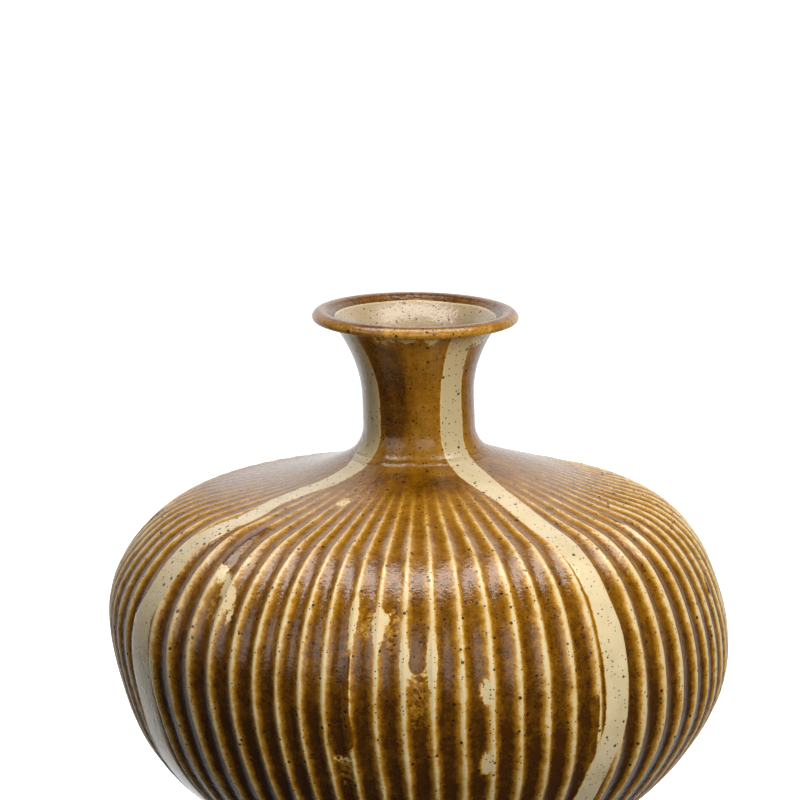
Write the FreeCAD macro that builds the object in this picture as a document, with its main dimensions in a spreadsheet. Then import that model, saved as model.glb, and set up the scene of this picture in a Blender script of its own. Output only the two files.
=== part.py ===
"""Fluted stoneware vase: a squat round belly, a slender neck and a flared, rolled lip.

The pot is put together the way a potter makes a large closed form. A lower bowl and an
upper dome, both carved with vertical flutes, are luted at the widest ring over a tongue and
backed inside by a coil. A floor disc drops into the bowl, and a turned foot ring is set
below it. The neck stands by its spigot in the dome's mouth, a coil fills the seam round it,
and a thick coil makes the lip.

Millimetres. +Z is up, and the origin is the centre of the foot's resting face.
"""

import FreeCAD, Part
import math
import os

import Sketcher

V = FreeCAD.Vector

# Driving dimensions: alias, value in mm or as a count, meaning.
DIMENSIONS = [
    ("axis_radius", 0.0, "the pot's axis"),
    ("table_height", 0.0, "the plane that the foot rests on"),
    ("belly_radius", 155.0, "rib crests at the widest ring"),
    ("belly_height", 120.5, "height of the widest ring"),
    ("haunch_radius", 139.4, "bowl's outline, upper station"),
    ("haunch_height", 68.5, "bowl's outline, upper station"),
    ("bilge_radius", 113.1, "bowl's outline, lower station"),
    ("bilge_height", 38.5, "bowl's outline, lower station"),
    ("base_radius", 66.0, "bowl's outline where it meets the foot ring"),
    ("base_height", 8.0, "underside of the bowl and of the floor disc"),
    ("shoulder_radius", 136.0, "dome's outline, first station above the widest ring"),
    ("shoulder_height", 168.7, "dome's outline, first station above the widest ring"),
    ("brow_radius", 107.0, "dome's outline where it flattens"),
    ("brow_height", 186.1, "dome's outline where it flattens"),
    ("slope_radius", 63.0, "dome's outline where it starts to sweep up"),
    ("slope_height", 197.7, "dome's outline where it starts to sweep up"),
    ("crown_radius", 34.0, "dome's outline at the neck"),
    ("crown_height", 208.3, "dome's outline at the neck"),
    ("flute_count", 72.0, "flutes round the belly"),
    ("flute_depth", 1.8, "valley below the crests at the widest ring"),
    ("flute_full_radius", 125.0, "outside this radius the dome's flutes are at full depth"),
    ("flute_end_radius", 62.0, "inside this radius the dome is smooth"),
    ("wall_radius", 147.5, "inner wall beside the widest ring"),
    ("wall_band", 8.0, "half height of that upright inner band"),
    ("inner_haunch_radius", 133.6, "bowl's inner wall, upper station"),
    ("inner_haunch_height", 72.4, "bowl's inner wall, upper station"),
    ("inner_bilge_radius", 108.5, "bowl's inner wall, lower station"),
    ("inner_bilge_height", 43.8, "bowl's inner wall, lower station"),
    ("inner_shoulder_radius", 130.9, "dome's inner wall, first station"),
    ("inner_shoulder_height", 163.9, "dome's inner wall, first station"),
    ("inner_brow_radius", 105.2, "dome's inner wall where it flattens"),
    ("inner_brow_height", 179.3, "dome's inner wall where it flattens"),
    ("inner_slope_radius", 61.2, "dome's inner wall where it starts to rise"),
    ("inner_slope_height", 190.9, "dome's inner wall where it starts to rise"),
    ("tongue_radius", 150.7, "outside of the tongue on the bowl's edge"),
    ("tongue_height", 4.0, "rise of the tongue into the dome"),
    ("coil_radius", 144.5, "innermost reach of the belly's seam coil"),
    ("coil_low", 117.0, "lower edge of that coil"),
    ("coil_high", 128.0, "upper edge of that coil"),
    ("coil_bevel", 2.5, "height of the coil's sloping edges"),
    ("floor_radius", 60.0, "floor disc below its ledge"),
    ("ledge_radius", 65.0, "floor disc above its ledge"),
    ("ledge_height", 11.5, "the ledge in the bowl that the floor disc sits on"),
    ("floor_height", 15.5, "top of the floor disc"),
    ("foot_radius", 64.0, "outside of the foot ring where it rests"),
    ("foot_inner_radius", 54.0, "inside of the foot ring"),
    ("foot_bevel", 1.2, "bevel of the foot ring's resting edges"),
    ("mouth_radius", 30.5, "hole in the dome, and the neck's spigot"),
    ("mouth_low", 201.9, "lower edge of that hole"),
    ("mouth_ledge", 204.5, "ledge in the dome that the neck's flange rests on"),
    ("rebate_radius", 36.2, "rebate in the dome above the ledge"),
    ("rebate_height", 207.3, "upper edge of the rebate"),
    ("flange_radius", 33.0, "neck's flange on the ledge"),
    ("flange_height", 209.6, "top of the neck's flange"),
    ("spigot_inner_radius", 25.5, "inside of the spigot at its foot"),
    ("spigot_height", 200.5, "foot of the spigot"),
    ("waist_radius", 27.7, "outside of the neck at its narrowest"),
    ("throat_radius", 22.7, "inside of the neck at its narrowest"),
    ("waist_low", 222.0, "lower end of the neck's upright stretch"),
    ("waist_high", 236.0, "upper end of the neck's upright stretch"),
    ("flare_radius", 30.3, "neck's outside where its flare starts"),
    ("flare_height", 252.5, "neck's outside where its flare starts"),
    ("bell_radius", 37.9, "neck's outside where the flare opens"),
    ("bell_height", 268.5, "neck's outside where the flare opens"),
    ("seat_radius", 44.5, "neck's outside edge under the lip"),
    ("seat_height", 275.0, "neck's outside edge under the lip"),
    ("inner_flare_radius", 26.0, "neck's inside where its flare starts"),
    ("inner_flare_height", 256.0, "neck's inside where its flare starts"),
    ("inner_bell_radius", 33.8, "neck's inside where the flare opens"),
    ("inner_bell_height", 271.5, "neck's inside where the flare opens"),
    ("inner_seat_radius", 42.0, "neck's inside edge under the lip"),
    ("inner_seat_height", 278.9, "neck's inside edge under the lip"),
    ("lip_under_radius", 46.8, "lowest part of the lip's roll"),
    ("lip_under_height", 274.3, "lowest part of the lip's roll"),
    ("lip_radius", 50.4, "outermost part of the lip"),
    ("lip_side_height", 277.4, "outermost part of the lip"),
    ("lip_crest_radius", 47.4, "top of the lip"),
    ("overall_height", 280.0, "top of the lip"),
]

# Sections of each fluted shell between one station of its outline and the next.
SECTIONS_PER_ARC = 4

doc = FreeCAD.newDocument("fluted_vase")
sheet = doc.addObject("Spreadsheet::Sheet", "Dims")


def fill_sheet():
    """Writes the driving dimensions into the spreadsheet, one alias per row."""
    for row, (alias, value, meaning) in enumerate(DIMENSIONS, start=1):
        sheet.set(f"A{row}", alias)
        sheet.set(f"B{row}", str(value))
        sheet.set(f"C{row}", meaning)
        sheet.setAlias(f"B{row}", alias)
    doc.recompute()


def dim(terms):
    """Value of one alias, or of a sum of them such as "coil_low + coil_bevel"."""
    value = 0.0
    sign = 1.0
    for word in terms.split():
        if word in "+-":
            sign = 1.0 if word == "+" else -1.0
        else:
            value += sign * float(sheet.get(word))
    return value


def bound(terms):
    """The same sum as an expression on the spreadsheet."""
    return " ".join(word if word in "+-" else f"Dims.{word}" for word in terms.split())


# ------------------------------------------------------------------ arcs of an outline

def arc_centre(start, heading, end):
    """Centre of the arc that leaves start along heading and ends at end."""
    chord = end - start
    left = V(-heading.y, heading.x, 0)
    return start + left * (chord.dot(chord) / (2 * left.dot(chord)))


def heading_after(start, heading, end):
    """Direction in which that arc arrives."""
    chord = (end - start).normalize()
    return chord * (2 * chord.dot(heading)) - heading


def outline_points(stations, heading, steps):
    """Points on a chain of tangent arcs through stations, steps to each arc."""
    points = [stations[0]]
    for start, end in zip(stations, stations[1:]):
        centre = arc_centre(start, heading, end)
        spoke = start - centre
        turn = spoke.getAngle(end - centre)
        sense = 1 if heading.dot(V(-spoke.y, spoke.x, 0)) > 0 else -1
        for step in range(1, steps + 1):
            angle = sense * turn * step / steps
            cos_a, sin_a = math.cos(angle), math.sin(angle)
            swung = V(spoke.x * cos_a - spoke.y * sin_a, spoke.x * sin_a + spoke.y * cos_a, 0)
            points.append(centre + swung)
        heading = heading_after(start, heading, end)
    return points


def station(radius, height):
    """An outline's station, as a point whose x is the radius and whose y is the height."""
    return V(dim(radius), dim(height), 0)


# ------------------------------------------------------------------ turned rings

class Outline:
    """A closed outline of lines and arcs in a sketch, with every size on the spreadsheet.

    Each corner is (radius, height, kind of the edge to the next corner, smooth). An arc is
    tangent to its neighbour at one smooth corner.
    """

    def __init__(self, sketch, corners):
        self.sketch = sketch
        self.corners = corners
        self.points = [station(corner[0], corner[1]) for corner in corners]
        self.count = len(corners)
        self.headings = {}
        self.settle_headings()
        for index in range(self.count):
            self.add_edge(index)
        for index in range(self.count):
            self.constrain(index)

    def settle_headings(self):
        """Works out each edge's direction at both ends, from the straight edges outwards."""
        for index, corner in enumerate(self.corners):
            if corner[2] == "line":
                along = (self.end(index) - self.points[index]).normalize()
                self.headings[index] = (along, along)
        while len(self.headings) < self.count:
            for index in range(self.count):
                if index not in self.headings:
                    self.settle_arc(index)

    def settle_arc(self, index):
        """Directions of an arc, once a neighbour across a smooth corner is settled."""
        start, end = self.points[index], self.end(index)
        before, after = (index - 1) % self.count, (index + 1) % self.count
        if self.corners[index][3] and before in self.headings:
            leave = self.headings[before][1]
            self.headings[index] = (leave, heading_after(start, leave, end))
        elif self.corners[after][3] and after in self.headings:
            arrive = self.headings[after][0]
            self.headings[index] = (heading_after(end, arrive * -1, start) * -1, arrive)

    def end(self, index):
        return self.points[(index + 1) % self.count]

    def add_edge(self, index):
        """Adds one edge. Part's arcs run anticlockwise, so a clockwise one is reversed."""
        start, end = self.points[index], self.end(index)
        if self.corners[index][2] == "line":
            self.sketch.addGeometry(Part.LineSegment(start, end), False)
            return
        centre = arc_centre(start, self.headings[index][0], end)
        circle = Part.Circle(centre, V(0, 0, 1), (start - centre).Length)
        ends = (start, end) if not self.clockwise(index) else (end, start)
        angles = [math.atan2(point.y - centre.y, point.x - centre.x) for point in ends]
        self.sketch.addGeometry(Part.ArcOfCircle(circle, angles[0], angles[1]), False)

    def clockwise(self, index):
        if self.corners[index][2] == "line":
            return False
        leave = self.headings[index][0]
        chord = self.end(index) - self.points[index]
        return leave.x * chord.y - leave.y * chord.x < 0

    def first(self, index):
        """Which vertex of an edge lies on the corner it starts from."""
        return 2 if self.clockwise(index) else 1

    def last(self, index):
        return 1 if self.clockwise(index) else 2

    def constrain(self, index):
        """Joins an edge to the one before it and binds the corner's place to the sheet."""
        before = (index - 1) % self.count
        radius, height, _, smooth = self.corners[index]
        kind = "Tangent" if smooth else "Coincident"
        link = Sketcher.Constraint(kind, before, self.last(before), index, self.first(index))
        self.sketch.addConstraint(link)
        for axis, terms in (("DistanceX", radius), ("DistanceY", height)):
            place = Sketcher.Constraint(axis, -1, 1, index, self.first(index), dim(terms))
            number = self.sketch.addConstraint(place)
            self.sketch.setExpression(f"Constraints[{number}]", bound(terms))


def origin_plane(body, role):
    return [plane for plane in body.Origin.OriginFeatures if plane.Role == role][0]


def turned_ring(label, corners):
    """A body turned about the Z axis from an outline of corners."""
    body = doc.addObject("PartDesign::Body", label)
    body.Label = label
    sketch = body.newObject("Sketcher::SketchObject", f"{label}_outline")
    sketch.AttachmentSupport = (origin_plane(body, "XZ_Plane"), [""])
    sketch.MapMode = "FlatFace"
    doc.recompute()
    Outline(sketch, corners)
    turning = body.newObject("PartDesign::Revolution", f"{label}_turning")
    turning.Profile = sketch
    turning.ReferenceAxis = (sketch, ["V_Axis"])
    turning.Angle = 360.0
    body.Placement = FreeCAD.Placement(V(0, 0, 0), FreeCAD.Rotation())
    return body


def make_foot_ring():
    """Unglazed foot ring, with bevelled resting edges and a flare up to the bowl."""
    return turned_ring("foot_ring", [
        ("foot_inner_radius + foot_bevel", "table_height", "line", False),
        ("foot_radius - foot_bevel", "table_height", "line", False),
        ("foot_radius", "foot_bevel", "line", False),
        ("base_radius", "base_height", "line", False),
        ("foot_inner_radius", "base_height", "line", False),
        ("foot_inner_radius", "foot_bevel", "line", False),
    ])


def make_floor_disc():
    """Floor disc. Its ledge drops into the bowl from inside."""
    return turned_ring("floor_disc", [
        ("axis_radius", "base_height", "line", False),
        ("floor_radius", "base_height", "line", False),
        ("floor_radius", "ledge_height", "line", False),
        ("ledge_radius", "ledge_height", "line", False),
        ("ledge_radius", "floor_height", "line", False),
        ("axis_radius", "floor_height", "line", False),
    ])


def make_belly_seam_coil():
    """Coil pressed over the belly's seam, on the inside."""
    return turned_ring("belly_seam_coil", [
        ("wall_radius", "coil_low", "line", False),
        ("wall_radius", "coil_high", "line", False),
        ("coil_radius", "coil_high - coil_bevel", "line", False),
        ("coil_radius", "coil_low + coil_bevel", "line", False),
    ])


def make_neck_collar():
    """Neck: spigot and flange in the dome's mouth, upright waist, and the flare."""
    return turned_ring("neck_collar", [
        ("spigot_inner_radius", "spigot_height", "line", False),
        ("mouth_radius", "spigot_height", "line", False),
        ("mouth_radius", "mouth_ledge", "line", False),
        ("flange_radius", "mouth_ledge", "line", False),
        ("flange_radius", "flange_height", "arc", False),
        ("waist_radius", "waist_low", "line", True),
        ("waist_radius", "waist_high", "arc", True),
        ("flare_radius", "flare_height", "arc", True),
        ("bell_radius", "bell_height", "arc", True),
        ("seat_radius", "seat_height", "line", False),
        ("inner_seat_radius", "inner_seat_height", "arc", False),
        ("inner_bell_radius", "inner_bell_height", "arc", True),
        ("inner_flare_radius", "inner_flare_height", "arc", True),
        ("throat_radius", "waist_high", "line", True),
        ("throat_radius", "waist_low", "arc", True),
    ])


def make_neck_seam_coil():
    """Coil in the rebate round the neck, rounded where it stands proud."""
    return turned_ring("neck_seam_coil", [
        ("flange_radius", "mouth_ledge", "line", False),
        ("rebate_radius", "mouth_ledge", "line", False),
        ("rebate_radius", "rebate_height", "arc", True),
        ("flange_radius", "flange_height", "line", False),
    ])


def make_lip_coil():
    """Rolled lip on the neck's edge."""
    return turned_ring("lip_coil", [
        ("seat_radius", "seat_height", "line", False),
        ("lip_under_radius", "lip_under_height", "arc", True),
        ("lip_radius", "lip_side_height", "arc", True),
        ("lip_crest_radius", "overall_height", "line", False),
        ("inner_seat_radius", "inner_seat_height", "line", False),
    ])


# ------------------------------------------------------------------ fluted shells

def flute_depth_at(radius, fades):
    """Depth of the flutes at a crest radius, and their fade towards the neck if they fade."""
    depth = dim("flute_depth") * radius / dim("belly_radius")
    if not fades:
        return depth
    inner, outer = dim("flute_end_radius"), dim("flute_full_radius")
    share = min(max((radius - inner) / (outer - inner), 0.0), 1.0)
    return depth * share * share * (3 - 2 * share)


def fluted_ring(point, fades):
    """Level ring of hollow flutes at one point of the outline.

    Each flute is a parabola between two crests, in two halves that meet in its valley.
    """
    count = int(dim("flute_count"))
    pitch = 2 * math.pi / count
    valley_radius = point.x - flute_depth_at(point.x, fades)
    edges = []
    for flute in range(count):
        crests = [polar(point.x, (flute + side) * pitch, point.y) for side in (0, 1)]
        valley = polar(valley_radius, (flute + 0.5) * pitch, point.y)
        apex = valley * 2 - (crests[0] + crests[1]) * 0.5
        for poles in (
            [crests[0], (crests[0] + apex) * 0.5, valley],
            [valley, (apex + crests[1]) * 0.5, crests[1]],
        ):
            curve = Part.BezierCurve()
            curve.setPoles(poles)
            edges.append(curve.toShape())
    return Part.Wire(edges)


def polar(radius, angle, height):
    return V(radius * math.cos(angle), radius * math.sin(angle), height)


def turned_solid(edges):
    """Solid turned about Z from the edges of a closed outline."""
    face = Part.Face(Part.Wire(edges))
    return face.revolve(V(0, 0, 0), V(0, 0, 1), 360)


def cavity_edges(stations, heading, corners):
    """Edges of a cavity's outline: tangent arcs through stations, then straight corners."""
    edges = []
    for start, end in zip(stations, stations[1:]):
        middle = outline_points([start, end], heading, 2)[1]
        edges.append(Part.Arc(lift(start), lift(middle), lift(end)).toShape())
        heading = heading_after(start, heading, end)
    path = [stations[-1]] + corners + [stations[0]]
    for start, end in zip(path, path[1:]):
        edges.append(Part.LineSegment(lift(start), lift(end)).toShape())
    return edges


def lift(point):
    """An outline's point stood up in the XZ plane."""
    return V(point.x, 0, point.y)


def ring(inner, outer, low, high):
    """Plain upright ring."""
    tube = Part.makeCylinder(outer, high - low, V(0, 0, low))
    return tube.cut(Part.makeCylinder(inner, high - low, V(0, 0, low)))


def shell_feature(label, shape):
    feature = doc.addObject("Part::Feature", label)
    feature.Label = label
    feature.Shape = shape
    feature.Placement = FreeCAD.Placement(V(0, 0, 0), FreeCAD.Rotation())
    return feature


def make_lower_belly():
    """Fluted bowl, with a seat for the floor disc and a tongue on its upper edge."""
    outside = [
        station("belly_radius", "belly_height"),
        station("haunch_radius", "haunch_height"),
        station("bilge_radius", "bilge_height"),
        station("base_radius", "base_height"),
    ]
    down = V(0, -1, 0)
    rings = [fluted_ring(p, False) for p in outline_points(outside, down, SECTIONS_PER_ARC)]
    body = Part.makeLoft(rings, True, False)
    inside = [
        station("wall_radius", "belly_height - wall_band"),
        station("inner_haunch_radius", "inner_haunch_height"),
        station("inner_bilge_radius", "inner_bilge_height"),
        station("ledge_radius", "floor_height"),
    ]
    corners = [
        station("ledge_radius", "ledge_height"),
        station("floor_radius", "ledge_height"),
        station("floor_radius", "table_height"),
        station("axis_radius", "table_height"),
        station("axis_radius", "belly_height + wall_band"),
        station("wall_radius", "belly_height + wall_band"),
    ]
    body = body.cut(turned_solid(cavity_edges(inside, down, corners)))
    rim = dim("belly_height")
    tongue = ring(dim("wall_radius"), dim("tongue_radius"), rim, rim + dim("tongue_height"))
    return shell_feature("lower_belly", body.fuse(tongue).removeSplitter())


def make_upper_belly():
    """Fluted dome, rebated over the bowl's tongue and round the neck's mouth."""
    outside = [
        station("belly_radius", "belly_height"),
        station("shoulder_radius", "shoulder_height"),
        station("brow_radius", "brow_height"),
        station("slope_radius", "slope_height"),
        station("crown_radius", "crown_height"),
    ]
    up = V(0, 1, 0)
    rings = [fluted_ring(p, True) for p in outline_points(outside, up, SECTIONS_PER_ARC)]
    body = Part.makeLoft(rings, True, False)
    inside = [
        station("wall_radius", "belly_height + wall_band"),
        station("inner_shoulder_radius", "inner_shoulder_height"),
        station("inner_brow_radius", "inner_brow_height"),
        station("inner_slope_radius", "inner_slope_height"),
        station("mouth_radius", "mouth_low"),
    ]
    corners = [
        station("mouth_radius", "mouth_ledge"),
        station("rebate_radius", "mouth_ledge"),
        station("rebate_radius", "waist_low"),
        station("axis_radius", "waist_low"),
        station("axis_radius", "belly_height - wall_band"),
        station("tongue_radius", "belly_height - wall_band"),
        station("tongue_radius", "belly_height + tongue_height"),
        station("wall_radius", "belly_height + tongue_height"),
    ]
    body = body.cut(turned_solid(cavity_edges(inside, up, corners)))
    return shell_feature("upper_belly", body)


def main():
    fill_sheet()
    pieces = [
        make_foot_ring(),
        make_floor_disc(),
        make_lower_belly(),
        make_belly_seam_coil(),
        make_upper_belly(),
        make_neck_collar(),
        make_neck_seam_coil(),
        make_lip_coil(),
    ]
    doc.recompute()
    for item in doc.Objects:
        if "Invalid" in item.State or "Error" in item.State:
            raise RuntimeError(f"{item.Label} failed: {item.State}")
    for piece in pieces:
        shape = piece.Shape
        if shape.isNull() or not shape.isValid() or not shape.Solids:
            raise RuntimeError(f"{piece.Label} has no valid solid")
    os.makedirs("parts", exist_ok=True)
    for piece in pieces:
        piece.Shape.exportStep(f"parts/{piece.Label}.step")
        print(piece.Label, "volume", round(piece.Shape.Volume), "mm3")


main()
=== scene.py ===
"""Looks of the fluted stoneware vase: hand-carved shells, running glaze and studio light.

Every shell is one closed mesh, made of level rows of points round the vase. Sizes here are
in millimetres and angles in degrees. Azimuth 0 faces the camera and grows to the right.
"""

import math

import bpy
import numpy as np
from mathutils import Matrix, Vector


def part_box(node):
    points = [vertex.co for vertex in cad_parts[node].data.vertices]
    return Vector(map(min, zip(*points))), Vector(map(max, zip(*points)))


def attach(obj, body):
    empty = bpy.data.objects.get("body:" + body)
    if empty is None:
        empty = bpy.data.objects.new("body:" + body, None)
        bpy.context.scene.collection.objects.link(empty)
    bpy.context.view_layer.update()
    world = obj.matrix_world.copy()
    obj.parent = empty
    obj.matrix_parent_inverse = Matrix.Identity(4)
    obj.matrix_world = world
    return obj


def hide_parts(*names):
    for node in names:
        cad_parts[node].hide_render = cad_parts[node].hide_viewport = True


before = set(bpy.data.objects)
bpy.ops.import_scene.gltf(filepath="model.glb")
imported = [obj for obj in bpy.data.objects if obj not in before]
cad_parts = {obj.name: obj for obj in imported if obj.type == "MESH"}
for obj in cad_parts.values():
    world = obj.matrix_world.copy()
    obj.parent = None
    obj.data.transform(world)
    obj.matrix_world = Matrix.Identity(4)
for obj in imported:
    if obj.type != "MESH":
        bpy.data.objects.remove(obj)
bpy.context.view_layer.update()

MM = 0.001


def edge_of(node, side, axis):
    """One side of a node's box, in millimetres."""
    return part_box(node)[side]["xyz".index(axis)] / MM


# ------------------------------------------------------------------ sizes from the frame

# Room left inside the CAD sizes, so that the unevenness of handwork stays within them.
INSET = 0.25
BELLY_ROOM = 0.6
RIM_ROOM = 0.9
# How much further than its CAD node the lip is rolled out.
LIP_SWELL = 0.6

# Heights and radii. SEAM is the height of the widest ring, where bowl and dome meet.
SEAM = edge_of("upper_belly", 0, "z")
TOP = edge_of("lip_coil", 1, "z") - RIM_ROOM
BELLY = edge_of("lower_belly", 1, "x") - INSET - BELLY_ROOM
FOOT_TOP = edge_of("foot_ring", 1, "z")
FOOT_WIDE = edge_of("foot_ring", 1, "x")
FLOOR_TOP = edge_of("floor_disc", 1, "z")
LEDGE = edge_of("floor_disc", 1, "x")
TONGUE_TOP = edge_of("lower_belly", 1, "z")
COIL_WALL = edge_of("belly_seam_coil", 1, "x")
COIL_LOW = edge_of("belly_seam_coil", 0, "z")
COIL_HIGH = edge_of("belly_seam_coil", 1, "z")
BEAD_OUT = edge_of("neck_seam_coil", 1, "x")
BEAD_LOW = edge_of("neck_seam_coil", 0, "z")
SPIGOT_LOW = edge_of("neck_collar", 0, "z")
LIP_OUT = edge_of("lip_coil", 1, "x") + LIP_SWELL

# Sizes inside the joints, which no node's box gives.
SPIGOT = 30.5
BEAD_IN = 33.0
FLOOR_SIDE = 60
FLOOR_EDGE = 4
TONGUE = 3.2
COIL_BULGE = 3

# Stations of the outlines: radius, and height above the seam at the widest ring.
BOWL = [(BELLY, 0), (139.7, -52), (113.8, -82), (FOOT_WIDE, FOOT_TOP - SEAM)]
DOME = [(BELLY, 0), (135.6, 48.2), (106.8, 65.4), (63, 77.0), (BEAD_OUT, 86.8)]
BOWL_INSIDE = [(LEDGE, FLOOR_TOP - SEAM), (108.5, -76.7), (133.6, -48.1), (COIL_WALL, -8)]
DOME_INSIDE = [(COIL_WALL, 8), (130.9, 43.4), (105.2, 58.8), (61.2, 70.4), (SPIGOT, 81.4)]
BEAD = [(BEAD_OUT, 86.8), (BEAD_IN, 89.1)]
NECK = [(BEAD_IN, 89.1), (27.7, 101.5), (27.7, 115.5), (30.3, 132), (37.9, 148), (44.5, 154.5)]
NECK_INSIDE = [
    (42.4, 157.2), (33.8, 150.4), (26, 135.5), (22.7, 115.5), (22.7, 101.5), (25.5, 80.2),
]
LIP = [
    (44.5, 154.5), (47.8, 153.4), (LIP_OUT - INSET, 156.2), (47.7, TOP - SEAM), (42.4, 157.2),
]

# Headings of the outlines at their first stations.
UP, DOWN = (0, 1), (0, -1)
LEDGE_LEAVES = (0.93, 0.37)
BEAD_LEAVES = (-0.77, 0.64)
NECK_LEAVES = (-0.723, 0.691)
MOUTH_LEAVES = (-0.865, -0.500)
LIP_LEAVES = (0.99, -0.12)
COIL_LEAVES = (-0.9, 0.44)

# Distance between the rows of a mesh.
CARVED_STEP = 2.35
INSIDE_STEP = 9.0
NECK_STEP = 1.4
BORE_STEP = 2.2
ROLL_STEP = 0.6
BEAD_STEP = 0.5
COIL_STEP = 1.5

# Meridian lengths: the glaze's map goes by them. They are 0 at the widest ring and grow up the
# outside. The lip's roll takes LIP_LENGTH more, and HIDDEN stands for every inner face.
BEAD_ALONG = 162
NECK_ALONG = 168
LIP_LENGTH = 16
HIDDEN = 300

# ------------------------------------------------------------------ the carver's hand

FLUTES = 72
PITCH = 360 / FLUTES
DEPTH = 1.7
# Roundness of a crest, in pitches.
CREST_ROUND = 0.055
# Places across one flute, in pitches from a crest, closer together where the crest bends.
ACROSS = (0, 0.035, 0.08, 0.13, 0.19, 0.27, 0.38, 0.5, 0.62, 0.73, 0.81, 0.87, 0.92, 0.965)
COLUMNS = FLUTES * len(ACROSS)
# Slow drift of the carving: cycles round the vase, degrees, phase in degrees.
DRIFT = ((1, 1.38, -70.5), (4, 1.10, -132.4), (7, 0.51, -20.5))
DRIFT_MEAN = -0.74
# How far each flute leans to the right below the widest ring, in degrees, and over what drop.
LEAN = 1.6
LEAN_DROP = 45.0
# Azimuth by which the change from left to right steep sides is turned.
STEEP_TURN = 12
# Place and spread of the painted shade beside a crest, in pitches.
SHADE_PLACE, SHADE_SPREAD = 0.14, 0.09
# The carving grows faint round this azimuth, on the shoulder between these radii.
FAINT_AZIMUTH, FAINT_SPREAD, FAINT = -110, 34, 0.9
FAINT_INSIDE, FAINT_OUTSIDE = 92, 138
# Bulges of the belly to the right: size, height above the seam, spread.
BULGES = ((-2.4, 25, 25), (1.7, -28, 22), (2.0, 72, 12))


def bell(value, centre, spread):
    """Smooth hump of height 1."""
    return np.exp(-(((value - centre) / spread) ** 2))


def ease(value, low, high):
    """Smooth step from 0 at low to 1 at high."""
    share = np.clip((value - low) / (high - low), 0, 1)
    return share * share * (3 - 2 * share)


def crest_place():
    """Column positions in pitches, 0 to the number of flutes."""
    return (np.arange(FLUTES)[:, None] + np.array(ACROSS)[None, :]).ravel()


def azimuths(height):
    """Azimuth of every column in a row at a height above the seam."""
    even = crest_place() * PITCH
    drift = DRIFT_MEAN + sum(a * np.sin(np.radians(n * even + p)) for n, a, p in DRIFT)
    below = min(height, 0.0) / LEAN_DROP
    return even + drift + LEAN * (1 - math.exp(-below * below))


def rightward():
    """Share of a flute's steeper side, which carries the painted shade, that lies right of its
    crest, for every column.
    """
    return 0.5 + 0.5 * np.sin(np.radians(azimuths(0.0) + STEEP_TURN))


def crest_distance():
    """Distance of every column from a crest, 0, to a flute's bed, 0.5."""
    place = crest_place()
    gap = place - np.round(place)
    share = np.where(gap > 0, rightward(), 1 - rightward())
    return 0.5 * (1 - (1 - 2 * np.abs(gap)) ** (1 + 0.5 * share))


def crest_painted_shade():
    """Painted shade: a dark edge beside the steeper side of every crest, where shade falls in the
    flute, 0 to 1.
    """
    place = crest_place()
    gap = place - np.round(place)
    right = rightward()
    after, before = bell(gap, SHADE_PLACE, SHADE_SPREAD), bell(gap, -SHADE_PLACE, SHADE_SPREAD)
    return right * after + (1 - right) * before


def faded(azimuth, radius):
    """How much of the carving is left: it grows faint on the shoulder at the back left."""
    apart = (azimuth - FAINT_AZIMUTH + 180) % 360 - 180
    inner = 1 - ease(radius, FAINT_INSIDE, FAINT_OUTSIDE)
    return 1 - FAINT * bell(apart, 0, FAINT_SPREAD) * inner


def crest_shape():
    """Height of every column between the flute's bed, 0, and its crest, 1."""
    slope = 1 - 2 * np.sqrt(crest_distance() ** 2 + CREST_ROUND**2)
    return (np.clip(slope, 0, 1) / (1 - 2 * CREST_ROUND)) ** 1.5


def hand_made(points):
    """Bends every piece alike, as clay sags: a lopsided belly, a leaning neck, a tilted rim."""
    x, y, z = points[..., 0], points[..., 1], points[..., 2] - SEAM
    reach = np.hypot(x, y)
    out = np.maximum(reach, 1.0)
    side = x / out
    turn = np.arctan2(y, x)
    moved = np.empty_like(points)

    # The belly bulges unevenly, with three faint lobes round it.
    bulge = side * reach / BELLY * sum(size * bell(z, at, spread) for size, at, spread in BULGES)
    bulge += 0.22 * np.sin(3 * turn + 0.6) * bell(z, 10, 60) * reach / BELLY
    grow = 1 + bulge / out

    # The neck leans to the left, and its rim dips on the right.
    rise = ease(z, 84, 160)
    moved[..., 0] = x * grow - 2.3 * rise
    moved[..., 1] = y * grow
    moved[..., 2] = points[..., 2] - 0.35 * side * rise * reach / LIP_OUT

    # The shoulder is higher on the right.
    moved[..., 2] += 1.9 * side * bell(z, 80, 13) * bell(reach, 65, 42)

    # The seam's bead is lumpy in front.
    lumps = bell(turn, -1.66, 0.5) * (1 + 0.35 * np.sin(17 * turn) + 0.25 * np.sin(29 * turn + 1))
    moved[..., 2] += 0.8 * lumps * bell(z, 88.0, 1.8) * bell(reach, 34.5, 3.5)
    return moved


# ------------------------------------------------------------------ outlines and rows

def turned(vector, angle):
    """A flat vector turned by an angle in radians."""
    c, s = math.cos(angle), math.sin(angle)
    return np.array([vector[0] * c - vector[1] * s, vector[0] * s + vector[1] * c])


def arc_chain(stations, heading, step):
    """Points and headings along tangent arcs through stations, about step apart."""
    points = [np.array(stations[0], float)]
    headings = [np.array(heading, float)]
    for end in stations[1:]:
        start, leave = points[-1], headings[-1]
        chord = np.array(end, float) - start
        length = math.hypot(*chord)
        half = math.atan2(leave[0] * chord[1] - leave[1] * chord[0], leave @ chord)
        count = max(2, round(length / step))
        for number in range(1, count + 1):
            part = half * number / count
            reach = number / count if abs(half) < 1e-6 else math.sin(part) / math.sin(half)
            points.append(start + turned(leave, part) * length * reach)
            headings.append(turned(leave, 2 * part))
    return np.array(points), np.array(headings)


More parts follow.
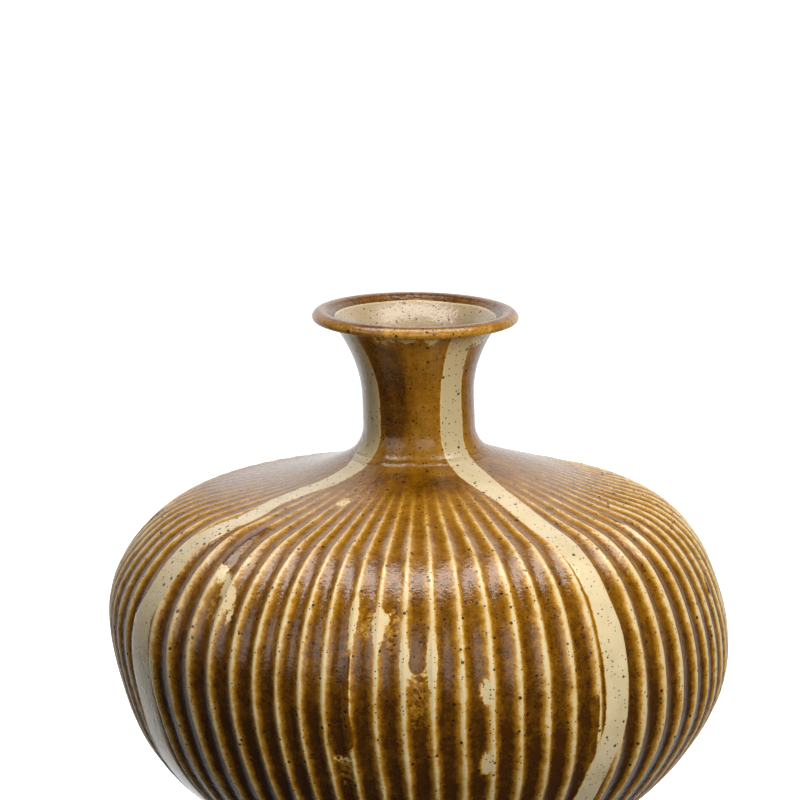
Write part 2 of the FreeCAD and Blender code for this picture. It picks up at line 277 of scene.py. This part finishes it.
def rows_from(stations, heading, step, out=1, carved=None, along=0.0, way=1):
    """Rows of a shell along an outline.

    out is the side of the travel that faces outwards, carved gives the flutes' depth for a
    radius, and along is the meridian length at the first row, growing by way.
    """
    points, headings = arc_chain(stations, heading, step)
    lengths = np.concatenate([[0], np.cumsum(np.hypot(*np.diff(points, axis=0).T))])
    rows = []
    for point, head, length in zip(points, headings, lengths):
        rows.append({
            "radius": point[0],
            "height": point[1],
            "normal": (out * head[1], -out * head[0]),
            "depth": carved(point[0]) if carved else 0.0,
            "along": along + way * length,
        })
    return rows


def corner_rows(*places, along=0.0):
    """Plain rows at the corners of a joint's faces."""
    return [
        {"radius": r, "height": z, "normal": (0, 0), "depth": 0.0, "along": along}
        for r, z in places
    ]


# ------------------------------------------------------------------ the glaze's map

# Cream bands poured over the ribs: meridian length, azimuth, half width in millimetres.
BANDS = (
    ((-170, 35.0, 7.0), (-55, 35.2, 7.0), (-36, 35.8, 7.0), (-15, 37.3, 7.0), (25, 37.4, 8.2),
     (45, 37.0, 6.4), (95, 36.3, 6.8), (125, 36.4, 6.2), (150, 34.9, 8.0), (170, 35.8, 7.2),
     (215, 36.5, 6.5), (240, 35.0, 7.5), (247, 35.0, -3.0)),
    ((-170, -63.5, 11.5), (0, -61.5, 10.4), (22, -61.5, 8.8), (40, -59.5, 7.2), (50, -59.2, 7.2),
     (61, -59.9, 7.4), (73, -58.3, 7.2), (90, -56.9, 6.4), (101, -57.7, 6.0), (113, -60.6, 5.6),
     (130, -60.0, 6.4), (142, -56.0, 6.8), (156, -54.0, 6.6), (170, -61.0, 9.0),
     (235, -62.0, 10.0), (243, -62.0, -3.0)),
    ((-170, 133.0, 8.0), (60, 134.0, 7.0), (140, 139.0, 8.5), (240, 127.0, 7.0),
     (247, 127.0, -3.0)),
    ((-170, -149.0, 9.0), (60, -152.0, 8.0), (140, -165.0, 8.5), (240, -181.0, 8.0),
     (247, -181.0, -3.0)),
)

# Meridian length from which the inside is cream, and the band depth that marks it as inside.
LINED = 259
INSIDE_BAND = 30.0
OUTSIDE_BAND = -20.0

# Dark runs of glaze: azimuth, length where they start, where they end, half width.
RUNS = (
    (-0.7, 70, 15, 2.7), (-14.2, 25, -25, 4.3), (-45.3, 92, 59, 2.6), (32.3, 0, -38, 2.4),
    (61.5, 96, 80, 2.6), (76.0, 60, 22, 3.0), (-97.0, 64, 30, 3.2), (104.0, 50, -12, 3.2),
    (157.0, 66, 18, 3.0), (-121.0, 40, -20, 3.4), (-176.0, 72, 34, 3.0),
)

# How fast a run narrows towards its start.
RUN_TAPER = 0.18

# Thin glaze that shows cream or amber, or thick glaze if the strength is negative:
# azimuth, length, half width, half length, strength.
PATCHES = (
    (-12.7, 42, 2.0, 9, 1.0), (-7.9, 38, 3.2, 9, 1.0), (-6.6, 42, 2.6, 3.2, 1.0),
    (-2.9, 22, 2.4, 10, 1.0), (1.9, 22, 2.6, 13, 1.0), (-10.4, 38, 4.2, 10, 0.42),
    (-5.4, 36, 4.2, 12, 0.45), (-0.7, 2, 5.0, 14, 0.42), (-0.7, 15, 6.0, 5.5, 0.62),
    (-45.0, 57, 3.2, 3.5, 1.0), (-43.2, 52, 4.2, 3.8, 1.0), (-41.4, 48, 3.6, 4.6, 1.0),
    (-39.4, 43, 2.6, 6, 1.0), (-38.4, 36, 1.8, 6, 0.9), (-43.6, 51, 1.3, 1.5, -0.55),
    (-42.6, 38, 4.6, 9, 0.45), (60.4, 72, 2.4, 7, 1.0), (-14.2, -29, 5.2, 2.4, 0.9),
    (-13.6, -38, 4.4, 8, 0.42), (11.3, 6, 2.8, 7, 0.9), (11.7, -31, 2.8, 8, 0.9),
    (-24.0, 234, 6.5, 4.6, 0.9), (-6.0, 235, 6.0, 3.6, 0.85), (11.0, 234, 4.0, 4.0, 0.7),
    (56.0, 232, 9.0, 6.0, 0.8), (-33.0, 126, 3.0, 5, 0.8), (2.0, 174, 16.0, 7, 0.16),
    (-27.0, 212, 9.0, 46, -0.26), (25.0, 196, 7.0, 30, 0.16), (0.0, 147, 26.0, 13, -0.16),
    (-12.0, 160, 8.0, 3, 0.25), (18.0, 156, 7.0, 3, 0.22), (98.0, 40, 3.0, 9, 0.9),
    (152.0, 20, 3.0, 10, 0.9), (-108.0, 30, 3.0, 9, 0.9), (-170.0, 52, 3.2, 8, 0.9),
)

# Thickness of the glaze: meridian length, on a crest, in a flute's bed.
THICKNESS = (
    (-170, 0.16, 1.04), (-70, 0.12, 1.03), (-20, 0.04, 0.98), (20, 0.00, 0.86), (60, 0.02, 0.74),
    (85, 0.10, 0.70), (115, 0.22, 0.66), (132, 0.44, 0.64), (146, 0.64, 0.64), (163, 0.64, 0.64),
    (170, 0.56, 0.56), (188, 0.66, 0.66), (214, 0.70, 0.70), (228, 0.62, 0.62), (235, 0.60, 0.60),
    (239, 0.78, 0.78), (242, 0.70, 0.70), (244, 0.46, 0.46), (248, 0.38, 0.38),
    (250.5, 0.52, 0.52),
    (252, 0.84, 0.84), (254, 0.60, 0.60), (257, 0.90, 0.90), (320, 0.66, 0.66),
)


def keyed(keys, along, column):
    """Value of a keyed column at a meridian length."""
    return np.interp(along, [key[0] for key in keys], [key[column] for key in keys])


def around(azimuth, centre, radius):
    """Distance round the vase from a centre, in millimetres."""
    gap = (azimuth - centre + 180) % 360 - 180
    return np.radians(gap) * radius


def band_depth(azimuth, along, radius):
    """How far inside the nearest cream band a point lies, negative outside."""
    inside = [np.where(along > LINED, INSIDE_BAND, OUTSIDE_BAND)]
    for band in BANDS:
        side = around(azimuth, keyed(band, along, 1), radius)
        inside.append(keyed(band, along, 2) - np.abs(side))
    return np.maximum.reduce(inside)


def run_depth(azimuth, along, radius):
    """How far inside the nearest dark run a point lies. A run swells to a round end."""
    inside = []
    for centre, start, end, half in RUNS:
        side = around(azimuth, centre, radius)
        swell = half * (1 + 0.55 * bell(along, end + 1.6 * half, 2.2 * half))
        tip = swell - np.hypot(side, np.minimum(along - end - swell, 0))
        inside.append(np.minimum(tip, (start - along) * RUN_TAPER))
    return np.maximum.reduce(inside)


def patch_strength(azimuth, along, radius):
    """How much thinner, or thicker if negative, the patches leave the glaze."""
    thin, thick = np.zeros_like(azimuth), np.zeros_like(azimuth)
    for centre, middle, half, length, strength in PATCHES:
        side = around(azimuth, centre, radius) / half
        share = abs(strength) * ease(-np.hypot(side, (along - middle) / length), -1.5, -0.5)
        if strength > 0:
            thin = np.maximum(thin, share)
        else:
            thick = np.maximum(thick, share)
    return thin - thick


# ------------------------------------------------------------------ meshes

ATTRIBUTES = ("crest", "painted_shade", "thin_end", "thick_end", "band", "run", "patch", "flow")
# A cream band's face lies this share of the flutes' depth below the crests.
BAND_SUNK = 0.22
# How far a dark run stands up from its flute's bed, in millimetres.
RUN_THICK = 0.35
# The streaks of glaze get no finer than this share of their width on the belly.
STREAK_LEAST = 0.35
# Edges that turn by more than this are sharp.
SHARP = 50


def shell_points(row, relief, band, run):
    """Points of one row, with its flutes, cream bands and runs of glaze in relief."""
    level = azimuths(row["height"])
    azimuth = np.radians(level)
    if row["height"] > 0:
        relief = 1 - faded(level, row["radius"]) * (1 - relief)
    filled = ease(band, -0.8, 0.9)
    sunk = row["depth"] * (1 - relief) * (1 - filled) + BAND_SUNK * row["depth"] * filled
    sunk = sunk - RUN_THICK * ease(run, -0.4, 1.4) * (1 - filled)
    sunk = np.maximum(sunk, 0.0) if row["depth"] > 0 else np.zeros_like(sunk)
    radius = row["radius"] - sunk * row["normal"][0]
    height = SEAM + row["height"] - sunk * row["normal"][1]
    return np.stack([radius * np.sin(azimuth), -radius * np.cos(azimuth), height], axis=-1)


def shell_mesh(name, rows):
    """A closed mesh from rows of points, with the glaze's map on its points."""
    relief, nearest, painted_shade = crest_shape(), crest_distance(), crest_painted_shade()
    grid, data = [], {key: [] for key in ATTRIBUTES}
    for row in rows:
        azimuth = azimuths(row["height"])
        along = np.full(COLUMNS, row["along"])
        band = band_depth(azimuth, along, row["radius"])
        run = run_depth(azimuth, along, row["radius"])
        grid.append(shell_points(row, relief, band, run))
        data["crest"].append(nearest)
        # The painted shade beside each crest, faded where the flutes are shallow.
        data["painted_shade"].append(painted_shade * min(1.0, row["depth"]))
        thin, thick = keyed(THICKNESS, along, 1), keyed(THICKNESS, along, 2)
        if row["height"] > 0:
            thin = thick - faded(azimuth, row["radius"]) * (thick - thin)
        data["thin_end"].append(thin)
        data["thick_end"].append(thick)
        data["band"].append(band)
        data["run"].append(run)
        data["patch"].append(patch_strength(azimuth, along, row["radius"]))
        turn = np.radians(azimuth)
        wide = max(STREAK_LEAST, row["radius"] / BELLY)
        data["flow"].append(
            np.stack([wide * np.sin(turn), -wide * np.cos(turn), along / BELLY], axis=-1)
        )
    points = hand_made(np.array(grid)) * MM
    count = len(rows)
    i = np.arange(count)[:, None]
    j = np.arange(COLUMNS)[None, :]
    right, below = (j + 1) % COLUMNS, (i + 1) % count
    corners = [
        i * COLUMNS + j, i * COLUMNS + right, below * COLUMNS + right, below * COLUMNS + j,
    ]
    quads = np.stack(corners, axis=-1).reshape(-1, 4)
    mesh = bpy.data.meshes.new(name)
    mesh.from_pydata(points.reshape(-1, 3).tolist(), [], quads.tolist())
    for key, values in data.items():
        kind = "FLOAT_VECTOR" if key == "flow" else "FLOAT"
        layer = mesh.attributes.new(key, kind, "POINT")
        field = "vector" if key == "flow" else "value"
        layer.data.foreach_set(field, np.array(values, dtype=np.float32).ravel())
    return mesh


def face_outwards(mesh):
    """Turns the faces round if the mesh's signed volume is negative."""
    points = np.empty(len(mesh.vertices) * 3)
    mesh.vertices.foreach_get("co", points)
    points = points.reshape(-1, 3)
    corners = np.array([polygon.vertices[:3] for polygon in mesh.polygons])
    a, b, c = (points[corners[:, k]] for k in range(3))
    if np.einsum("ij,ij->i", a, np.cross(b, c)).sum() < 0:
        mesh.flip_normals()


def finished(mesh, node, material):
    """Makes the mesh's object, which stands for a CAD node and rides on the vase."""
    mesh.validate()
    mesh.update()
    face_outwards(mesh)
    mesh.shade_smooth()
    mesh.set_sharp_from_angle(angle=math.radians(SHARP))
    mesh.materials.append(material)
    piece = bpy.data.objects.new(mesh.name, mesh)
    bpy.context.scene.collection.objects.link(piece)
    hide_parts(node)
    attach(piece, "root")


# ------------------------------------------------------------------ shader graphs

class Graph:
    """A material's node graph, built by short calls."""

    def __init__(self, name):
        self.material = bpy.data.materials.new(name)
        self.material.use_nodes = True
        self.tree = self.material.node_tree
        self.surface = self.tree.nodes["Principled BSDF"]

    def put(self, socket, value):
        """Links a socket to another socket, or sets its value."""
        if isinstance(value, bpy.types.NodeSocket):
            self.tree.links.new(value, socket)
        else:
            socket.default_value = value

    def attribute(self, name, vector=False):
        node = self.tree.nodes.new("ShaderNodeAttribute")
        node.attribute_name = name
        return node.outputs["Vector" if vector else "Fac"]

    def place(self):
        return self.tree.nodes.new("ShaderNodeTexCoord").outputs["Object"]

    def maths(self, operation, first, second=0.0):
        node = self.tree.nodes.new("ShaderNodeMath")
        node.operation = operation
        self.put(node.inputs[0], first)
        self.put(node.inputs[1], second)
        return node.outputs[0]

    def plus(self, *terms):
        total = terms[0]
        for term in terms[1:]:
            total = self.maths("ADD", total, term)
        return total

    def swing(self, noise, amount):
        """A noise's swing about its middle, times an amount."""
        return self.maths("MULTIPLY", self.maths("SUBTRACT", noise, 0.5), amount)

    def stretched(self, vector, scale):
        node = self.tree.nodes.new("ShaderNodeMapping")
        self.put(node.inputs["Vector"], vector)
        node.inputs["Scale"].default_value = scale
        return node.outputs[0]

    def noise(self, vector, scale, detail=2.0, roughness=0.5):
        node = self.tree.nodes.new("ShaderNodeTexNoise")
        self.put(node.inputs["Vector"], vector)
        node.inputs["Scale"].default_value = scale
        node.inputs["Detail"].default_value = detail
        node.inputs["Roughness"].default_value = roughness
        return node.outputs["Fac"]

    def step(self, value, low, high, start=0.0, end=1.0):
        """Smooth step of a value between low and high."""
        node = self.tree.nodes.new("ShaderNodeMapRange")
        node.interpolation_type = "SMOOTHSTEP"
        for socket, number in zip(node.inputs[:5], (value, low, high, start, end)):
            self.put(socket, number)
        return node.outputs[0]

    def ramp(self, value, stops):
        node = self.tree.nodes.new("ShaderNodeValToRGB")
        self.put(node.inputs[0], value)
        elements = node.color_ramp.elements
        while len(elements) < len(stops):
            elements.new(1.0)
        for element, (position, colour) in zip(elements, stops):
            element.position = position
            element.color = (*colour, 1.0)
        return node.outputs[0]

    def mix(self, share, first, second):
        """Two colours mixed by a share of the second. Inputs 6 and 7 are the colours'."""
        node = self.tree.nodes.new("ShaderNodeMix")
        node.data_type = "RGBA"
        self.put(node.inputs[0], share)
        for place, colour in ((6, first), (7, second)):
            self.put(node.inputs[place], (*colour, 1.0) if isinstance(colour, tuple) else colour)
        return node.outputs[2]

    def specks(self, vector, scale, rarity, size):
        """Small dots, one in each cell whose random value passes rarity, up to size wide."""
        node = self.tree.nodes.new("ShaderNodeTexVoronoi")
        self.put(node.inputs["Vector"], vector)
        node.inputs["Scale"].default_value = scale
        split = self.tree.nodes.new("ShaderNodeSeparateColor")
        self.tree.links.new(node.outputs["Color"], split.inputs[0])
        reach = self.maths("MULTIPLY", self.step(split.outputs[0], rarity, 1.0), size)
        gap = self.maths("SUBTRACT", reach, node.outputs["Distance"])
        return self.step(gap, -0.02, 0.03)

    def bump(self, height, strength, distance):
        node = self.tree.nodes.new("ShaderNodeBump")
        node.inputs["Strength"].default_value = strength
        node.inputs["Distance"].default_value = distance
        self.tree.links.new(height, node.inputs["Height"])
        return node.outputs[0]


CREAM = (0.56, 0.445, 0.245)
BAND_CREAM = (0.57, 0.465, 0.28)
BAND_TAN = (0.50, 0.40, 0.225)
NECK_CREAM = (0.43, 0.34, 0.185)
# The cream inside the mouth, darkened with painted shade for the shadow that falls into it.
SHADED_INSIDE_CREAM = (0.31, 0.235, 0.14)
LINER_CREAM, LINER_TAN = (0.50, 0.40, 0.24), (0.36, 0.26, 0.13)
SAND_DARK, SAND_PALE, SAND_TOASTED = (0.30, 0.20, 0.115), (0.44, 0.32, 0.20), (0.30, 0.15, 0.065)
# Colour of the brown glaze by the thickness of its coat.
GLAZE = (
    (0.04, CREAM), (0.16, (0.53, 0.365, 0.145)), (0.30, (0.42, 0.225, 0.036)),
    (0.48, (0.275, 0.127, 0.010)), (0.70, (0.180, 0.071, 0.0020)), (0.86, (0.098, 0.035, 0.0008)),
    (1.00, (0.045, 0.014, 0.0004)),
)
IRON = (0.016, 0.008, 0.003)


def glaze_coat(g, place, flow, blot, cloud, grain):
    """Thickness of the glaze: thin on the crests, thick in the beds, and thickened beside each
    crest as painted shade.
    """
    crest = g.plus(g.attribute("crest"), g.swing(cloud, 0.10), g.swing(blot, 0.12))
    rise = g.step(crest, 0.0, 0.40)
    thin, thick = g.attribute("thin_end"), g.attribute("thick_end")
    coat = g.plus(thin, g.maths("MULTIPLY", g.maths("SUBTRACT", thick, thin), rise))
    # Painted shade: the coat grows thicker, so darker, beside the steeper side of each crest. The
    # cloud adds uneven thickness.
    coat = g.plus(coat, g.maths("MULTIPLY", g.attribute("painted_shade"), 0.28), g.swing(cloud, 0.28))

    # Worn patches tear the coat open raggedly, and negative ones pool it.
    worn = g.attribute("patch")
    rag = g.noise(place, 430.0, detail=3.0, roughness=0.6)
    torn = g.step(g.plus(worn, g.swing(rag, 2.4), g.swing(blot, 1.2)), 0.15, 0.75)
    coat = g.maths("SUBTRACT", coat, g.maths("MULTIPLY", worn, torn))
    coat = g.maths("SUBTRACT", coat, g.maths("MINIMUM", worn, 0.0))

    # Dark runs lie over the rest, and mottling over all.
    run = g.step(g.plus(g.attribute("run"), g.swing(blot, 1.6)), -0.4, 0.6)
    coat = g.maths("MAXIMUM", coat, g.maths("MULTIPLY", run, 0.84))
    streak = g.noise(g.stretched(flow, (26, 26, 6)), 1.0, detail=4.0)
    mottling = (g.swing(streak, 0.28), g.swing(blot, 0.40), g.swing(grain, 0.36))
    return g.plus(g.maths("MAXIMUM", coat, 0.0), *mottling)


def cream_bands(g, flow, cloud):
    """Colour of the poured cream: greyer up the neck, and darkest inside the mouth, where painted
    shade stands for the shadow falling into it.
    """
    cream = g.mix(g.step(cloud, 0.35, 0.75), BAND_CREAM, BAND_TAN)
    length = g.tree.nodes.new("ShaderNodeSeparateXYZ")
    g.put(length.inputs[0], flow)
    cream = g.mix(g.step(length.outputs["Z"], 1.0, 1.15), cream, NECK_CREAM)
    # Painted shade inside the mouth: there the cream turns to the darker inside colour.
    inside = g.step(g.attribute("band"), INSIDE_BAND * 0.6, INSIDE_BAND * 0.9)
    return g.mix(inside, cream, SHADED_INSIDE_CREAM)


def make_glaze():
    """Glossy brown glaze that breaks to amber and cream where it is thin."""
    g = Graph("reactive_glaze")
    place = g.place()
    flow = g.attribute("flow", vector=True)
    cloud = g.noise(place, 70.0, detail=3.0)
    blot = g.noise(place, 260.0, detail=4.0, roughness=0.65)
    grain = g.noise(place, 850.0, detail=3.0, roughness=0.65)

    coat = glaze_coat(g, place, flow, blot, cloud, grain)
    band = g.plus(g.attribute("band"), g.swing(blot, 2.0))
    coat = g.maths("MULTIPLY", coat, g.step(band, -0.3, 0.9, 1.0, 0.0))
    colour = g.mix(g.step(band, 0.5, 1.3), g.ramp(coat, GLAZE), cream_bands(g, flow, cloud))
    large, small = g.specks(place, 260.0, 0.35, 0.24), g.specks(place, 620.0, 0.20, 0.28)
    dots = g.maths("MAXIMUM", large, small)
    colour = g.mix(g.maths("MULTIPLY", dots, 0.9), colour, IRON)

    # The gloss: an orange-peel surface with a pit at each speck.
    peel = g.plus(g.noise(place, 380.0, detail=2.0), g.maths("MULTIPLY", grain, 0.6))
    peel = g.maths("SUBTRACT", peel, g.maths("MULTIPLY", dots, 0.5))
    g.put(g.surface.inputs["Base Color"], colour)
    g.put(g.surface.inputs["Roughness"], g.step(grain, 0.2, 0.8, 0.06, 0.13))
    g.put(g.surface.inputs["Normal"], g.bump(peel, 0.65, 0.0004))
    g.surface.inputs["IOR"].default_value = 1.68
    return g.material


def make_liner():
    """Satin cream glaze inside the vase."""
    g = Graph("cream_liner")
    place = g.place()
    cloud = g.noise(place, 40.0, detail=4.0)
    colour = g.mix(g.step(cloud, 0.3, 0.75), LINER_CREAM, LINER_TAN)
    dots = g.specks(place, 260.0, 0.6, 0.13)
    colour = g.mix(g.maths("MULTIPLY", dots, 0.85), colour, IRON)
    g.put(g.surface.inputs["Base Color"], colour)
    g.put(g.surface.inputs["Roughness"], g.step(cloud, 0.2, 0.8, 0.25, 0.4))
    g.put(g.surface.inputs["Normal"], g.bump(g.noise(place, 300.0), 0.3, 0.0004))
    return g.material


def make_bare_clay():
    """Unglazed sandy stoneware on the foot, toasted next to the glaze."""
    g = Graph("bare_clay")
    place = g.place()
    sand = g.noise(place, 1400.0, detail=4.0, roughness=0.7)
    cloud = g.noise(place, 45.0, detail=3.0)
    colour = g.mix(g.step(sand, 0.3, 0.7), SAND_DARK, SAND_PALE)
    colour = g.mix(g.step(cloud, 0.4, 0.8, 0.0, 0.5), colour, SAND_TOASTED)
    dots = g.specks(place, 300.0, 0.6, 0.14)
    colour = g.mix(g.maths("MULTIPLY", dots, 0.8), colour, IRON)
    g.put(g.surface.inputs["Base Color"], colour)
    g.put(g.surface.inputs["Roughness"], g.step(sand, 0.2, 0.8, 0.75, 0.95))
    g.put(g.surface.inputs["Normal"], g.bump(sand, 0.6, 0.0005))
    return g.material


# ------------------------------------------------------------------ the pieces

def bowl_carving(radius):
    """Depth of the flutes below the widest ring."""
    return DEPTH * min(1.0, (radius / BELLY) ** 0.8)


def dome_carving(radius):
    """Depth of the flutes above it. They run out towards the neck."""
    return DEPTH * float(ease(radius, 60, 118)) * (0.55 + 0.45 * radius / BELLY)


def hidden_rows(*places):
    return corner_rows(*places, along=HIDDEN)


def tongue_rows():
    """Joint of bowl and dome: up the inner wall, over the tongue and down to the seam."""
    top = TONGUE_TOP - SEAM
    return hidden_rows((COIL_WALL, top), (COIL_WALL + TONGUE, top), (COIL_WALL + TONGUE, 0))


def make_lower_belly(glaze):
    rows = rows_from(BOWL, DOWN, CARVED_STEP, out=-1, carved=bowl_carving, way=-1)
    under, ledge = FOOT_TOP - SEAM, FLOOR_TOP - SEAM - FLOOR_EDGE
    places = (FLOOR_SIDE, under), (FLOOR_SIDE, ledge), (LEDGE, ledge)
    rows += corner_rows(*places, along=rows[-1]["along"])
    rows += rows_from(BOWL_INSIDE, LEDGE_LEAVES, INSIDE_STEP, along=HIDDEN)
    rows += tongue_rows()
    finished(shell_mesh("lower_belly_carved", rows), "lower_belly", glaze)


def make_upper_belly(glaze):
    rows = rows_from(DOME, UP, CARVED_STEP, carved=dome_carving)
    rows += hidden_rows((BEAD_OUT, BEAD_LOW - SEAM), (SPIGOT, BEAD_LOW - SEAM))
    rows += rows_from(DOME_INSIDE, UP, INSIDE_STEP, along=HIDDEN)[::-1]
    rows += tongue_rows()
    finished(shell_mesh("upper_belly_carved", rows), "upper_belly", glaze)


def make_neck(glaze):
    rows = rows_from(NECK, NECK_LEAVES, NECK_STEP, along=NECK_ALONG)
    mouth = rows[-1]["along"] + LIP_LENGTH
    rows += rows_from(NECK_INSIDE, MOUTH_LEAVES, BORE_STEP, along=mouth)
    low = BEAD_LOW - SEAM
    rows += hidden_rows((SPIGOT, SPIGOT_LOW - SEAM), (SPIGOT, low), (BEAD_IN, low))
    finished(shell_mesh("neck_thrown", rows), "neck_collar", glaze)


def make_neck_bead(glaze):
    rows = rows_from(BEAD, BEAD_LEAVES, BEAD_STEP, along=BEAD_ALONG)
    rows += hidden_rows((BEAD_IN, BEAD_LOW - SEAM), (BEAD_OUT, BEAD_LOW - SEAM))
    finished(shell_mesh("neck_seam_bead", rows), "neck_seam_coil", glaze)


def make_lip(glaze):
    start = rows_from(NECK, NECK_LEAVES, NECK_STEP, along=NECK_ALONG)[-1]["along"]
    rows = rows_from(LIP, LIP_LEAVES, ROLL_STEP, along=start)
    finished(shell_mesh("lip_rolled", rows), "lip_coil", glaze)


def make_belly_coil(liner):
    low, high = COIL_LOW - SEAM, COIL_HIGH - SEAM
    roll = [(COIL_WALL, low), (COIL_WALL - COIL_BULGE, (low + high) / 2), (COIL_WALL, high)]
    rows = rows_from(roll, COIL_LEAVES, COIL_STEP)
    mesh = shell_mesh("belly_seam_coil_pressed", rows)
    finished(mesh, "belly_seam_coil", liner)


def make_foot(clay):
    """Foot ring with softened edges where it rests."""
    low, top = -SEAM, FOOT_TOP - SEAM
    rows = corner_rows((54, top), (54, low + 1.4), (54.4, low + 0.5), (55.4, low))
    rows += corner_rows((59, low), (62.6, low), (63.6, low + 0.5), (64, low + 1.4))
    rows += corner_rows((64.4, low + 4), (FOOT_WIDE, top))
    finished(shell_mesh("foot_ring_turned", rows), "foot_ring", clay)


def make_floor(liner):
    """Floor disc, as rows that close on small rings about the axis."""
    low, high = FOOT_TOP - SEAM, FLOOR_TOP - SEAM
    ledge = high - FLOOR_EDGE
    rows = corner_rows((0.5, low), (30, low), (FLOOR_SIDE, low), (FLOOR_SIDE, ledge))
    rows += corner_rows((LEDGE, ledge), (LEDGE, high))
    rows += corner_rows((45, high - 0.2), (25, high - 0.4), (0.5, high - 0.4))
    finished(shell_mesh("floor_disc_laid", rows), "floor_disc", liner)


# ------------------------------------------------------------------ studio

# Radius and height of the round room, in metres.
ROOM, WALL = 9.0, 8.0
WHITE = (1, 1, 1, 1)


def make_stage():
    """Pale floor and wall. They are white behind the vase and light nothing themselves."""
    g = Graph("studio_white")
    apart = g.tree.nodes.new("ShaderNodeSeparateXYZ")
    far = g.tree.nodes.new("ShaderNodeVectorMath")
    far.operation = "LENGTH"
    spot = g.tree.nodes.new("ShaderNodeNewGeometry").outputs["Position"]
    g.put(apart.inputs[0], spot)
    g.put(far.inputs[0], spot)
    behind = g.step(apart.outputs["Y"], -0.05, 0.10)
    away = g.step(far.outputs["Value"], 0.1, 1.6, 0.25, 1.0)
    g.surface.inputs["Base Color"].default_value = (0.70, 0.70, 0.70, 1)
    g.surface.inputs["Roughness"].default_value = 0.9
    g.surface.inputs["Specular IOR Level"].default_value = 0.1
    g.surface.inputs["Emission Color"].default_value = WHITE
    g.put(g.surface.inputs["Emission Strength"], g.maths("MAXIMUM", behind, away))
    bpy.ops.mesh.primitive_circle_add(vertices=96, radius=ROOM, fill_type="NGON")
    floor = bpy.context.object
    floor.name = "studio_floor"
    bpy.ops.mesh.primitive_cylinder_add(
        vertices=96, radius=ROOM, depth=WALL, end_fill_type="NOTHING", location=(0, 0, WALL / 2)
    )
    wall = bpy.context.object
    wall.name = "studio_wall"
    for part in (floor, wall):
        part.data.materials.append(g.material)
        part.visible_glossy = False
        part.visible_diffuse = False
        part.visible_shadow = False


def softbox(name, azimuth, elevation, distance, size, radiance, aim=(0, 0, 160), shows=True):
    """Oblong light that faces the vase. Its reflection is left out unless it shows.

    Distance and size are in metres, and aim is in millimetres.
    """
    light = bpy.data.lights.new(name, "AREA")
    light.shape = "RECTANGLE"
    light.size, light.size_y = size
    light.energy = radiance * math.pi * size[0] * size[1]
    lamp = bpy.data.objects.new(name, light)
    a, e = math.radians(azimuth), math.radians(elevation)
    back = Vector((math.sin(a) * math.cos(e), -math.cos(a) * math.cos(e), math.sin(e)))
    lamp.location = Vector(aim) * MM + back * distance
    lamp.rotation_euler = back.to_track_quat("Z", "Y").to_euler()
    lamp.visible_glossy = shows
    bpy.context.scene.collection.objects.link(lamp)
    return light


def make_lights():
    """A soft box overhead, two windows that the glaze mirrors, and two lights it doesn't."""
    over = softbox("overhead", 0, 90, 0.95, (1.5, 0.48), 4.9, aim=(0, -90, 200))
    over.color = (1.0, 0.94, 0.90)
    softbox("left_window", -54, 21, 1.2, (0.80, 0.78), 1.1)
    softbox("front_window", 10, 19, 1.9, (1.1, 1.2), 1.1)
    softbox("key", 33, 26, 2.0, (0.9, 0.9), 16.3, shows=False)
    softbox("fill", 10, -4, 2.0, (0.9, 0.9), 1.1, shows=False)


def make_world():
    """White air behind the vase, dark air in front of it."""
    world = bpy.data.worlds.new("studio_air")
    world.use_nodes = True
    nodes, links = world.node_tree.nodes, world.node_tree.links
    place = nodes.new("ShaderNodeTexCoord")
    apart = nodes.new("ShaderNodeSeparateXYZ")
    depth = nodes.new("ShaderNodeMapRange")
    depth.interpolation_type = "SMOOTHSTEP"
    span = {"From Min": 0.40, "From Max": 0.85, "To Min": 0.03, "To Max": 1.0}
    for socket, value in span.items():
        depth.inputs[socket].default_value = value
    links.new(place.outputs["Generated"], apart.inputs[0])
    links.new(apart.outputs["Y"], depth.inputs[0])
    links.new(depth.outputs[0], nodes["Background"].inputs["Strength"])
    nodes["Background"].inputs["Color"].default_value = WHITE
    bpy.context.scene.world = world


# Camera: lens in millimetres, place from the seam's centre in metres, and tilt in degrees.
LENS = 185.06
CAMERA_LEFT, CAMERA_BACK, CAMERA_UP = 0.00978, 1.9893, 0.5351
CAMERA_TILT = 11.978


def make_camera():
    """Camera two metres in front, half a metre above the seam, looking a little down."""
    camera = bpy.data.cameras.new("camera")
    camera.sensor_width = 36.0
    camera.lens = LENS
    camera.clip_start = 0.05
    camera.clip_end = 50.0
    rig = bpy.data.objects.new("camera", camera)
    rig.location = (-CAMERA_LEFT, -CAMERA_BACK, SEAM * MM + CAMERA_UP)
    rig.rotation_euler = (math.radians(90 - CAMERA_TILT), 0, 0)
    bpy.context.scene.collection.objects.link(rig)
    bpy.context.scene.camera = rig


def main():
    glaze, liner, clay = make_glaze(), make_liner(), make_bare_clay()
    make_lower_belly(glaze)
    make_upper_belly(glaze)
    make_neck_bead(glaze)
    make_neck(glaze)
    make_lip(glaze)
    make_belly_coil(liner)
    make_foot(clay)
    make_floor(liner)
    make_stage()
    make_lights()
    make_world()
    make_camera()
    bpy.context.scene.view_settings.view_transform = "Standard"


main()
